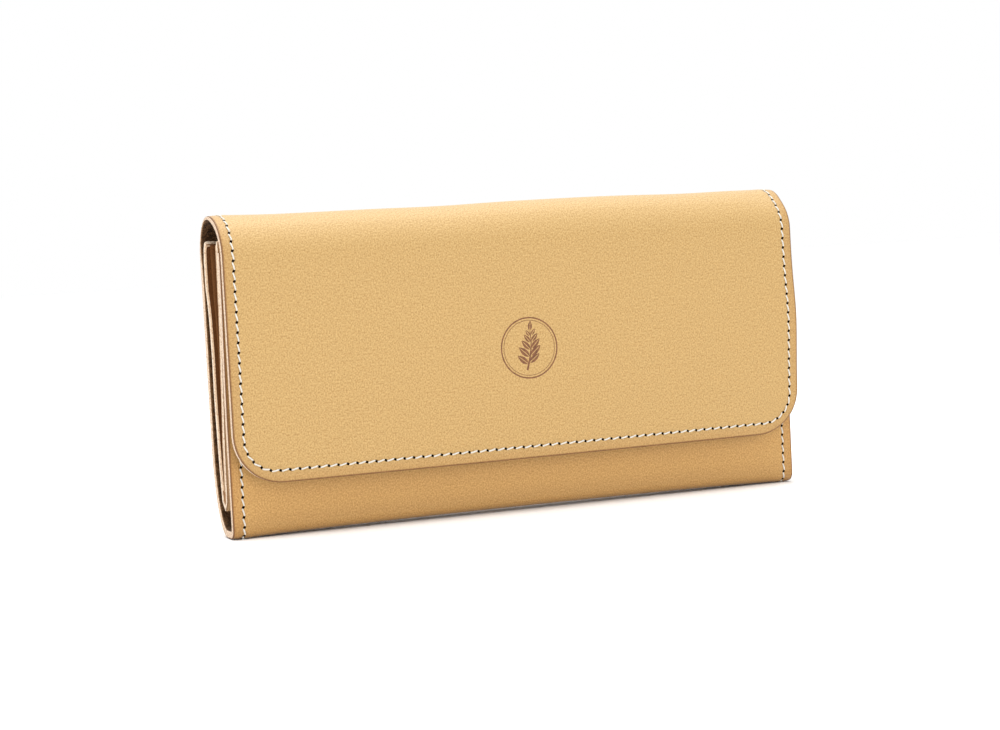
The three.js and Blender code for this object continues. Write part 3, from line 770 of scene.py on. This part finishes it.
def flap_seam():
    """(u, v) along the left side of the back, over the fold, round the flap and back again."""
    x, centre = HALF - SEAM_INSET, HALF - SEAM_INSET - SEAM_CORNER
    low = SHELL.length - SEAM_RISE
    start = SHELL.nearest(BACK_Y - 4.2, 13.0)
    left = line((-x, start), (-x, low - SEAM_CORNER), 1.0)
    corner_left = arc((-centre, low - SEAM_CORNER), (SEAM_CORNER, SEAM_CORNER), 180, 90, 24)
    middle = line((-centre, low), (centre, low), 1.0)
    corner_right = arc((centre, low - SEAM_CORNER), (SEAM_CORNER, SEAM_CORNER), 90, 0, 24)
    right = line((x, low - SEAM_CORNER), (x, start), 1.0)
    return Path(left + corner_left + middle + corner_right + right + [(x, start)])


def front_seam(side):
    """(u, v) down one side of the front panel, from its top edge to the bottom."""
    x = side * (HALF - FRONT_SEAM_INSET)
    end = SHELL.nearest(FRONT_FACE_Y + TOE_RADIUS + 1.0, 0.0)
    return Path(line((x, FRONT_SEAM_START), (x, end), 1.0))


def seam_point(seam, s, aside, depth):
    """A point beside a seam, at a distance along it. aside is outwards on the flap's seam, and
    leftwards on both of the front panel's."""
    u, v = seam.point(s, aside)
    return on_shell(u, v, depth + seam_relief(u, v))


# Along a stitch: the share of its length, its depth below the grain, and its share of THREAD_R.
STITCH_STEPS = (0.0, 0.06, 0.18, 0.35, 0.5, 0.65, 0.82, 0.94, 1.0)
STITCH_DEPTHS = (0.34, 0.06, -0.12, -0.21, -0.23, -0.21, -0.12, 0.06, 0.34)
STITCH_SIZES = (0.70, 0.88, 1.0, 1.0, 1.0, 1.0, 1.0, 0.88, 0.70)
THREAD_R = 0.24
STITCH_SLANT = -0.30  # how far aside of the seam a stitch ends
HOLE_GAP = 0.36  # between a hole's middle and the stitch
HOLE_TURN = 30  # degrees from the seam's direction
HOLE_RADII = (0.60, 0.42)
HOLE_RINGS = ((0.06, 1.0), (-0.045, 0.95), (-0.03, 0.0))  # depth and share of the radii
HOLE_SIDES = 12
RING = 8  # sides of a thread


def add_stitch(mesh, seam, s, pitch):
    """One slanting stitch, from just past a hole to just short of the next."""
    points, faces, rest = mesh
    base = len(points)
    length = pitch - 2 * HOLE_GAP
    centres, normals = [], []
    for t, depth in zip(STITCH_STEPS, STITCH_DEPTHS):
        at = s + HOLE_GAP + length * t
        aside = STITCH_SLANT * (2 * t - 1)
        centre = seam_point(seam, at, aside, depth)
        centres.append(centre)
        normals.append(seam_point(seam, at, aside, depth - 0.2) - centre)
    centres, normals = np.array(centres), np.array(normals)
    tangents = np.gradient(centres, axis=0)
    for k, size in enumerate(STITCH_SIZES):
        tangent = tangents[k] / np.linalg.norm(tangents[k])
        side = np.cross(tangent, normals[k])
        side /= np.linalg.norm(side)
        lift = np.cross(side, tangent)
        for j in range(RING):
            a = 2 * math.pi * j / RING
            reach = side * math.cos(a) * 1.08 + lift * math.sin(a) * 0.92
            points.append(centres[k] + reach * THREAD_R * size)
            rest.append((s + length * STITCH_STEPS[k], j * 0.4, 0.0))
    for k in range(len(STITCH_SIZES) - 1):
        for j in range(RING):
            a, b = base + k * RING + j, base + k * RING + (j + 1) % RING
            faces.append((a, b, b + RING, a + RING))
    faces.append(tuple(base + j for j in range(RING - 1, -1, -1)))
    last = base + (len(STITCH_SIZES) - 1) * RING
    faces.append(tuple(last + j for j in range(RING)))


def add_hole(mesh, seam, s):
    """An awl hole as a thin near-black lens on the grain: painted shade of the hole."""
    points, faces, rest = mesh
    base = len(points)
    turn = math.radians(HOLE_TURN + random_numbers.uniform(-6, 6))
    count = HOLE_SIDES
    for depth, size in HOLE_RINGS:
        for j in range(count if size else 1):
            a = 2 * math.pi * j / count
            x, y = HOLE_RADII[0] * size * math.cos(a), HOLE_RADII[1] * size * math.sin(a)
            along = x * math.cos(turn) - y * math.sin(turn)
            aside = x * math.sin(turn) + y * math.cos(turn)
            points.append(seam_point(seam, s + along, aside, depth))
            rest.append((s + along, aside, 0.0))
    for j in range(count):
        k = (j + 1) % count
        faces.append((base + j, base + k, base + count + k, base + count + j))
        faces.append((base + count + j, base + count + k, base + 2 * count))
    faces.append(tuple(base + j for j in range(count - 1, -1, -1)))


def sew(seams, v_ranges):
    """The stitches and the holes of each strip, by where each one lies."""
    stitches = {name: ([], [], []) for name in v_ranges}
    holes = {name: ([], [], []) for name in v_ranges}

    def owner(seam, s):
        v = float(seam.point(s)[1])
        return next((n for n, (low, high) in v_ranges.items() if low <= v < high), None)

    for seam in seams:
        count = round(seam.length / STITCH_PITCH)
        pitch = seam.length / count
        for i in range(count + 1):
            name = owner(seam, min(max(i * pitch, 0.01), seam.length - 0.01))
            add_hole(holes[name], seam, i * pitch)
            if i < count:
                add_stitch(stitches[owner(seam, (i + 0.5) * pitch)], seam, i * pitch, pitch)
    return stitches, holes


def add_seams():
    ranges = {part[0]: (part[1], part[2]) for part in STRIPS}
    stitches, holes = sew([flap_seam(), front_seam(-1), front_seam(1)], ranges)
    for name, _, _, rule, nodes in STRIPS:
        points, faces, rest = stitches[name]
        sewn = make_object("stitches_" + name, points, faces, [thread], rest=rest, sharp=60)
        bend(sewn, rule)
        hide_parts(*nodes_like(nodes, "_thread", "_thread_left", "_thread_right"))
        points, faces, rest = holes[name]
        awl = make_object("stitch_holes_" + name, points, faces, [hole], rest=rest, sharp=60)
        bend(awl, rule)


add_seams()


# ---- emblem

EMBLEM_Z = 50.6
EMBLEM_X = 0.6
EMBLEM_DEPTH = -0.015  # just proud of the grain
RING_STEPS = 96


def emblem_point(x, y):
    v = SHELL.length - (EMBLEM_Z + y - FLAP_EDGE_Z)
    return on_shell(EMBLEM_X + x, v, EMBLEM_DEPTH)


def add_ribbon(mesh, centre_line, widths):
    """A flat stroke along (x, y) points of the emblem."""
    points, faces = mesh
    base = len(points)
    centres = np.array(centre_line)
    tangent = np.gradient(centres, axis=0)
    tangent /= np.linalg.norm(tangent, axis=1)[:, None]
    for (x, y), (tx, ty), width in zip(centres, tangent, widths):
        for side in (-0.5, 0.5):
            points.append(emblem_point(x - ty * side * width, y + tx * side * width))
    for k in range(len(centres) - 1):
        a = base + 2 * k
        faces.append((a, a + 2, a + 3, a + 1))


def add_half_leaf(mesh, root, angle, length, width, side):
    """One half of a leaf beside its midrib, with a notched outer margin."""
    points, faces = mesh
    base = len(points)
    ca, sa = math.cos(angle), math.sin(angle)
    steps = 12
    for k in range(steps + 1):
        t = k / steps
        bulge = width * math.sin(math.pi * t ** 0.85) ** 0.9
        notch = 1.0 - 0.13 * (k % 2)
        for across in (0.11 * min(1.0, 4 * (1 - t)), 0.11 + bulge * notch):
            x, y = length * t, side * across
            points.append(emblem_point(root[0] + x * ca - y * sa, root[1] + x * sa + y * ca))
    for k in range(steps):
        a = base + 2 * k
        quad = (a, a + 2, a + 3, a + 1)
        faces.append(quad if side > 0 else quad[::-1])


def add_circle(mesh, radius, width):
    angles = np.linspace(0, 2 * math.pi, RING_STEPS + 1)
    points = [(radius * math.cos(a), radius * math.sin(a)) for a in angles]
    add_ribbon(mesh, points, [width] * len(points))


def stem_point(t):
    return 1.7 * math.sin(t * 2.1) - 1.0, -6.9 + 12.2 * t


def add_emblem():
    """A stamped sprig of leaves in a ring."""
    mesh = ([], [])
    add_circle(mesh, 9.3, 0.42)
    add_circle(mesh, 8.5, 0.16)
    stem = [stem_point(t) for t in np.linspace(0, 1, 24)]
    add_ribbon(mesh, stem, np.linspace(0.62, 0.2, len(stem)))
    for k, t in enumerate((0.18, 0.36, 0.54, 0.72, 0.88)):
        x, y = stem_point(t)
        length = 4.9 - 1.9 * abs(t - 0.42) * 1.6 - 0.35 * k
        for direction in (-1, 1):
            angle = math.pi / 2 - direction * math.radians(52 - 4 * k)
            root = (x + direction * 0.28, y + 0.15 * direction)
            for side in (-1, 1):
                add_half_leaf(mesh, root, angle, length, length * 0.21, side)
    top = stem[-1]
    for side in (-1, 1):
        add_half_leaf(mesh, top, math.radians(84), 2.9, 0.62, side)
    points, faces = mesh
    piece = make_object("flap_emblem", points, faces, [stamp])
    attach(piece, "flap")


add_emblem()


# ---- flat sheets inside

GUSSET_HIGH = box_mm("gusset_rear_leaf_left")[1].z
PANEL_LINES = (0.0, 0.06, 0.16, 0.3, 0.8, 1.5, 1.75, 2.0, 2.5)
CREASE, CREASE_INSET, CREASE_WIDTH = 0.10, 1.75, 0.22


def node_face(node, thickness, lean):
    """The rear face of a leaning plate, as its (y, z) at the bottom and at the top."""
    low, high = box_mm(node)
    front, rear = low.y + thickness, high.y
    return ((front, low.z), (rear, high.z)) if lean > 0 else ((rear, low.z), (front, high.z))


def add_panel(name, path, x_range, thickness, materials, slot="leather", corner=0.8, crease=False,
              step=4.0, open_low=False):
    """A sheet along a path, with round cut edges, round upper corners and, where it has a crease, a
    line pressed in below its top edge. open_low is where another piece of the leather carries on."""
    us = np.array(lines_between(x_range[0], x_range[1], step, PANEL_LINES, PANEL_LINES))
    low = (0.0, 0.1) if open_low else PANEL_LINES
    vs = np.array(lines_between(0.0, path.length, step, low, PANEL_LINES))
    rounded = rounded_end(us[0], us[-1], vs[-1], corner)

    def place(u, v, depth):
        u2, v2 = rounded(u, v)
        groove = CREASE * bell(path.length - v2, CREASE_INSET, CREASE_WIDTH) * crease
        y, z = path.point(v2, depth + np.where(depth < thickness / 2, groove, -groove))
        return np.stack([u2, y, z], axis=-1)

    inset = cut_inset(us, vs, low_cut=not open_low)
    points, faces, kinds, rest, edge = sheet_grid(us, vs, place, 0.0, thickness, inset)
    piece = make_object(name, points, faces, materials, kinds, rest, edge)
    return piece


WALL_MATERIALS = [wall_leather, raw_edge, wall_leather]
# the flanges are in the dark gusset leather: painted shade between the walls
FLANGE_MATERIALS = [shaded_brown_leather, shaded_flange_edge, shaded_brown_leather]
WALL = 1.2  # thickness of the pouch's front wall
REAR_WALL = 1.6
THIN = 0.6  # thickness of the card slots and the coin pocket
PLATE_FLANGE = 1.5  # the rear flange's plate in the frame
FLANGES = {"rear": 1.4, "front": 0.9}  # thickness of the gussets' sewn edges
POUCH_SIDE = HALF - 0.25
FLANGE_GAP = 0.3  # between that plate and the wall
FLANGE_CLEARANCE = 0.04
WALL_TOP_Z = box_mm("pouch_rear_wall")[1].z
LINING_RADIUS = FOLD_R - LINING_TO
FRONT_BOW = 1.4  # the front wall bows forward at its top
FRONT_BACKSET = 0.8  # and stands back near its bottom
REAR_STEP = 1.4  # the rear wall steps back at its top
REAR_HOLLOW = 1.0  # it comes forward at its middle
REAR_TOE = 0.4  # and near its bottom


def leaning_y(node, thickness, lean, z):
    """The y of a leaning plate's rear face at a height."""
    (y0, z0), (y1, z1) = node_face(node, thickness, lean)
    return y0 + (y1 - y0) * (z - z0) / (z1 - z0)


def wall_y(place, z):
    """The y of a pouch wall's inner face at a height. The rear wall follows the top fold."""
    if place == "front":
        bow = FRONT_BOW * ramp(z, 36.0, 70.0) - FRONT_BACKSET * ramp(z, 42.0, 28.0)
        return leaning_y("pouch_front_wall", WALL, -1, z) - bow
    straight = leaning_y("gusset_rear_edge_left", PLATE_FLANGE, 1, z) + FLANGE_GAP
    hollow = REAR_HOLLOW * ramp(z, 40.0, 56.0) * ramp(z, 76.0, 64.0)
    straight += REAR_STEP * ramp(z, 70.0, 80.0) - hollow - REAR_TOE * ramp(z, 27.0, 11.0)
    fold = math.sqrt(LINING_RADIUS ** 2 - max(0.0, z - FOLD_Z) ** 2)
    return min(straight, fold - 0.2 - REAR_WALL)


def heights(low, high, step=2.0):
    return [float(z) for z in np.linspace(low, high, round((high - low) / step) + 1)]


def add_pouch():
    """The pouch is one strip of leather, made as two pieces: each wall has half of the round
    bottom."""
    low, high = box_mm("pouch_bottom")
    middle, sides = (low.y + high.y) / 2, (-POUCH_SIDE, POUCH_SIDE)
    top = high.z
    rise = top - low.z
    climb = heights(top, WALL_TOP_Z)
    rear = Path(
        arc((middle, top), (wall_y("rear", top) + REAR_WALL - middle, rise), -90, 0, 10)
        + [(wall_y("rear", z) + REAR_WALL, z) for z in climb]
    )
    piece = add_panel("pouch_rear", rear, sides, REAR_WALL, WALL_MATERIALS, open_low=True, crease=True)
    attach(piece, "back")
    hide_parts("pouch_rear_wall", "pouch_bottom")
    # The front wall is made facing the rear and then mirrored, so that its outside is in front.
    front = Path(
        arc((-middle, top), (middle - wall_y("front", top) + WALL, rise), -90, 0, 10)
        + [(-(wall_y("front", z) - WALL), z) for z in climb]
    )
    piece = add_panel("pouch_front", front, sides, WALL, WALL_MATERIALS, open_low=True, crease=True)
    mirror_in_depth(piece)
    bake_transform(piece)
    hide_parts("pouch_front_wall")


def add_flange(place, side):
    """The sewn edge of a gusset, flat against the inner face of its wall."""
    node = f"gusset_{place}_edge_{side}"
    low, high = box_mm(node)
    thickness = FLANGES[place]
    ahead = -FLANGE_CLEARANCE if place == "rear" else thickness + FLANGE_CLEARANCE
    path = Path([(wall_y(place, z) + ahead, z) for z in heights(low.z, GUSSET_HIGH)])
    sides = (-POUCH_SIDE, high.x) if side == "left" else (low.x, POUCH_SIDE)
    piece = add_panel(node + "_leather", path, sides, thickness, FLANGE_MATERIALS, corner=0.5)
    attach(piece, "back" if place == "rear" else "front")
    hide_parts(node)


def mirror_in_depth(piece):
    """Turns a piece made for the rear into one for the front."""
    mesh = piece.data
    mesh.transform(Matrix.Scale(-1.0, 4, (0.0, 1.0, 0.0)))
    mesh.flip_normals()
    mesh.update()


def add_plate(node, thickness, lean, materials, body, slot="leather", **options):
    """A sheet in the place of a leaning plate: lean is 1 towards the rear and -1 towards the front."""
    low, high = box_mm(node)
    bottom, top = node_face(node, thickness, lean)
    path = Path(line(bottom, top, 3.0) + [top])
    piece = add_panel(node + "_leather", path, (low.x, high.x), thickness, materials, slot, **options)
    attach(piece, body)
    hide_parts(node)
    return piece


def add_card_slots():
    for tier in (1, 2, 3):
        for side in ("left", "right"):
            node = f"card_slot_{tier}_{side}"
            add_plate(node, THIN, 1, WALL_MATERIALS, "back", corner=3.0, crease=True, step=3.5)


def add_coin_pocket():
    for name, lean, corner in (("back", 1, 2.0), ("front", -1, 0.8), ("top_band", -1, 2.0)):
        node = "coin_pocket_" + name
        add_plate(node, THIN, lean, WALL_MATERIALS, "coin_pocket", corner=corner, crease=True)
    for node, materials, slot in (
        ("coin_pocket_binding", WALL_MATERIALS, "leather"),
        ("zip_tape_lower", [tape] * 3, "zip_tape"),
        ("zip_tape_upper", [tape] * 3, "zip_tape"),
    ):
        low, high = box_mm(node)
        add_plate(node, high.y - low.y, 1, materials, "coin_pocket", slot, corner=0.3)


add_pouch()
add_card_slots()
add_coin_pocket()


# ---- side gussets

GUSSET_LOW = 17.6
GUSSET_DEPTH = 13.0  # how far in the crease is at the top
GUSSET_LEAF = 0.8  # thickness
GUSSET_BELLY = 0.25  # a leaf bows this much
GUSSET_ROUND = 0.3
GUSSET_COLUMNS = 26
APEX = Vector(joints["gusset_rear_right_fold"]["pos_m"]) / MM


def hinge_y(place, z):
    """Where a gusset's hinge line is at a height, just clear of its sewn edge."""
    axis = Vector(joints[f"gusset_{place}_right_fold"]["axis"])
    line = APEX.y + (z - APEX.z) * axis.y / axis.z
    reach = FLANGES[place] + GUSSET_LEAF / 2 + 0.1
    if place == "rear":
        return min(line, wall_y(place, z) - reach)
    return max(line, wall_y(place, z) + reach)


def gusset_section(place, z):
    """The middle line of one leaf at a height, as (x, y): from its hinge line in to the crease."""
    turn = 1.0 if place == "rear" else -1.0
    line_y = hinge_y(place, z)
    inner = APEX.x - GUSSET_DEPTH * (z - APEX.z) / (GUSSET_HIGH - APEX.z)
    belly = GUSSET_BELLY * min(1.0, (z - APEX.z) / 30.0)
    points = []
    for t in np.linspace(0.0, 1.0, 14):
        x = APEX.x + (inner - APEX.x) * t
        points.append((x, line_y + (APEX.y - line_y) * t + turn * belly * math.sin(math.pi * t)))
    return Path(points)


def add_gusset(place, side, sign):
    """One leaf of a side gusset, which swings about its hinge line."""
    turn = 1.0 if place == "rear" else -1.0
    vs = np.array(lines_between(GUSSET_LOW, GUSSET_HIGH, 3.0, (0.0, 0.3), PANEL_LINES[:6]))
    sections = [gusset_section(place, z) for z in vs]
    points, rest, edge = [], [], []
    for way in (-1, 1):
        for share in np.linspace(0.0, 1.0, GUSSET_COLUMNS):
            for z, section in zip(vs, sections):
                along = section.length * share
                fall = rounding(GUSSET_HIGH - z, GUSSET_ROUND) + rounding(along, GUSSET_ROUND)
                depth = max(GUSSET_LEAF / 2 - fall, 0.02) * way
                x, y = section.point(along, depth)
                y = max(y, APEX.y + 0.02) if turn > 0 else min(y, APEX.y - 0.02)
                points.append((sign * x, y, z))
                rest.append((along, z, depth))
                edge.append(min(GUSSET_HIGH - z, FAR_FROM_EDGE))
    faces, kinds = sheet_faces(GUSSET_COLUMNS, len(vs))
    name = f"gusset_{place}_{side}_leather"
    piece = make_object(name, points, faces, [shaded_brown_leather, shaded_brown_edge], kinds, rest, edge)
    recalculate_normals(piece)
    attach(piece, f"gusset_{place}_{side}")
    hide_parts(f"gusset_{place}_leaf_{side}")


def recalculate_normals(piece):
    mesh = bmesh.new()
    mesh.from_mesh(piece.data)
    bmesh.ops.recalc_face_normals(mesh, faces=mesh.faces)
    mesh.to_mesh(piece.data)
    mesh.free()
    piece.data.update()


for side, sign in (("left", -1), ("right", 1)):
    for place in ("rear", "front"):
        add_flange(place, side)
        add_gusset(place, side, sign)


# ---- zip and press stud


def keep_places(mesh):
    """Stores each point's place in millimetres, for the materials."""
    if "rest" not in mesh.attributes:
        mesh.attributes.new("rest", "FLOAT_VECTOR", "POINT")
    places = np.array([v.co for v in mesh.vertices], np.float32) / MM
    mesh.attributes["rest"].data.foreach_set("vector", places.ravel())


def use_material(node, material):
    """Gives a CAD node that stays its finished material."""
    mesh = frame["nodes"][node].data
    mesh.materials.clear()
    mesh.materials.append(material)
    keep_places(mesh)


def soften(node, body, bevel):
    """A copy of a CAD node with its edges rounded, which stands for it."""
    piece = add_object(node + "_brass", frame["nodes"][node].data.copy())
    piece.data.materials.clear()
    piece.data.materials.append(brass)
    weld = piece.modifiers.new("weld", "WELD")
    weld.merge_threshold = 0.00001
    rounded = piece.modifiers.new("bevel", "BEVEL")
    rounded.width = bevel * MM
    rounded.segments = 3
    rounded.limit_method = "ANGLE"
    rounded.angle_limit = math.radians(40)
    depsgraph = bpy.context.evaluated_depsgraph_get()
    mesh = bpy.data.meshes.new_from_object(piece.evaluated_get(depsgraph))
    piece.modifiers.clear()
    piece.data = mesh
    mesh.shade_smooth()
    mesh.set_sharp_from_angle(angle=math.radians(50))
    keep_places(mesh)
    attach(piece, body)
    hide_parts(node)
    return piece


def add_hardware():
    for row in ("lower", "upper"):
        use_material(f"zip_teeth_{row}", brass)
    for side in ("left", "right"):
        soften(f"zip_stop_{side}", "coin_pocket", 0.2)
    soften("zip_slider", "zip_slider", 0.25)
    soften("zip_slider_back", "zip_slider", 0.12)
    soften("zip_pull", "zip_pull", 0.18)
    for node in ("snap_stud", "snap_stud_washer", "snap_socket", "snap_rivet"):
        body = "flap" if node in ("snap_socket", "snap_rivet") else "front"
        soften(node, body, 0.12)


add_hardware()


# ---- camera, floor and light

AIM = Vector((-8.3, -10.4, 46.2)) * MM  # the point in the middle of the view
VIEW_DISTANCE = 0.709
VIEW_AZIMUTH, VIEW_ELEVATION, VIEW_ROLL = (math.radians(a) for a in (-22.5, 3.8, -3.0))
LENS = 82.8
FLOOR_HALF = 3.0  # metres, like the lights' places and sizes


def add_camera():
    az, el = VIEW_AZIMUTH, VIEW_ELEVATION
    back = Vector((math.sin(az) * math.cos(el), -math.cos(az) * math.cos(el), math.sin(el)))
    right = Vector((math.cos(az), math.sin(az), 0.0))
    up = back.cross(right)
    turn = Matrix((right, up, back)).transposed().to_4x4() @ Matrix.Rotation(VIEW_ROLL, 4, "Z")
    camera = add_object("camera", bpy.data.cameras.new("camera"))
    camera.data.lens = LENS
    camera.data.sensor_width = 36.0
    camera.matrix_world = Matrix.Translation(AIM + back * VIEW_DISTANCE) @ turn
    bpy.context.scene.camera = camera


def add_floor():
    half = FLOOR_HALF
    mesh = bpy.data.meshes.new("floor")
    corners = [(-half, -half, 0), (half, -half, 0), (half, half, 0), (-half, half, 0)]
    mesh.from_pydata(corners, [], [(0, 1, 2, 3)])
    m = Nodes("pale_floor", 0.9)
    m.set(Base_Color=(1.0, 1.0, 1.0, 1.0), Specular_IOR_Level=0.1)
    mesh.materials.append(m.material)
    floor = add_object("floor", mesh)


def add_light(name, place, size, watts, aim=(0.0, 0.0, 0.05)):
    light = bpy.data.lights.new(name, "AREA")
    light.shape = "RECTANGLE"
    light.size, light.size_y = size
    light.energy = watts
    obj = add_object(name, light)
    obj.location = place
    obj.rotation_euler = (Vector(aim) - Vector(place)).to_track_quat("-Z", "Y").to_euler()


def add_lights():
    world = bpy.data.worlds.new("studio")
    world.use_nodes = True
    background = world.node_tree.nodes["Background"]
    background.inputs["Color"].default_value = (1.0, 1.0, 1.0, 1.0)
    background.inputs["Strength"].default_value = 1.0
    bpy.context.scene.world = world
    add_light("overhead", (-0.10, 0.05, 1.1), (1.2, 0.8), 10.0)
    add_light("front_fill", (-0.1, -1.6, 0.75), (1.6, 1.0), 2.5)


add_camera()
add_floor()
add_lights()
view = bpy.context.scene.view_settings
view.view_transform = "Standard"
view.look = "None"
view.exposure = 0.0
view.gamma = 1.0
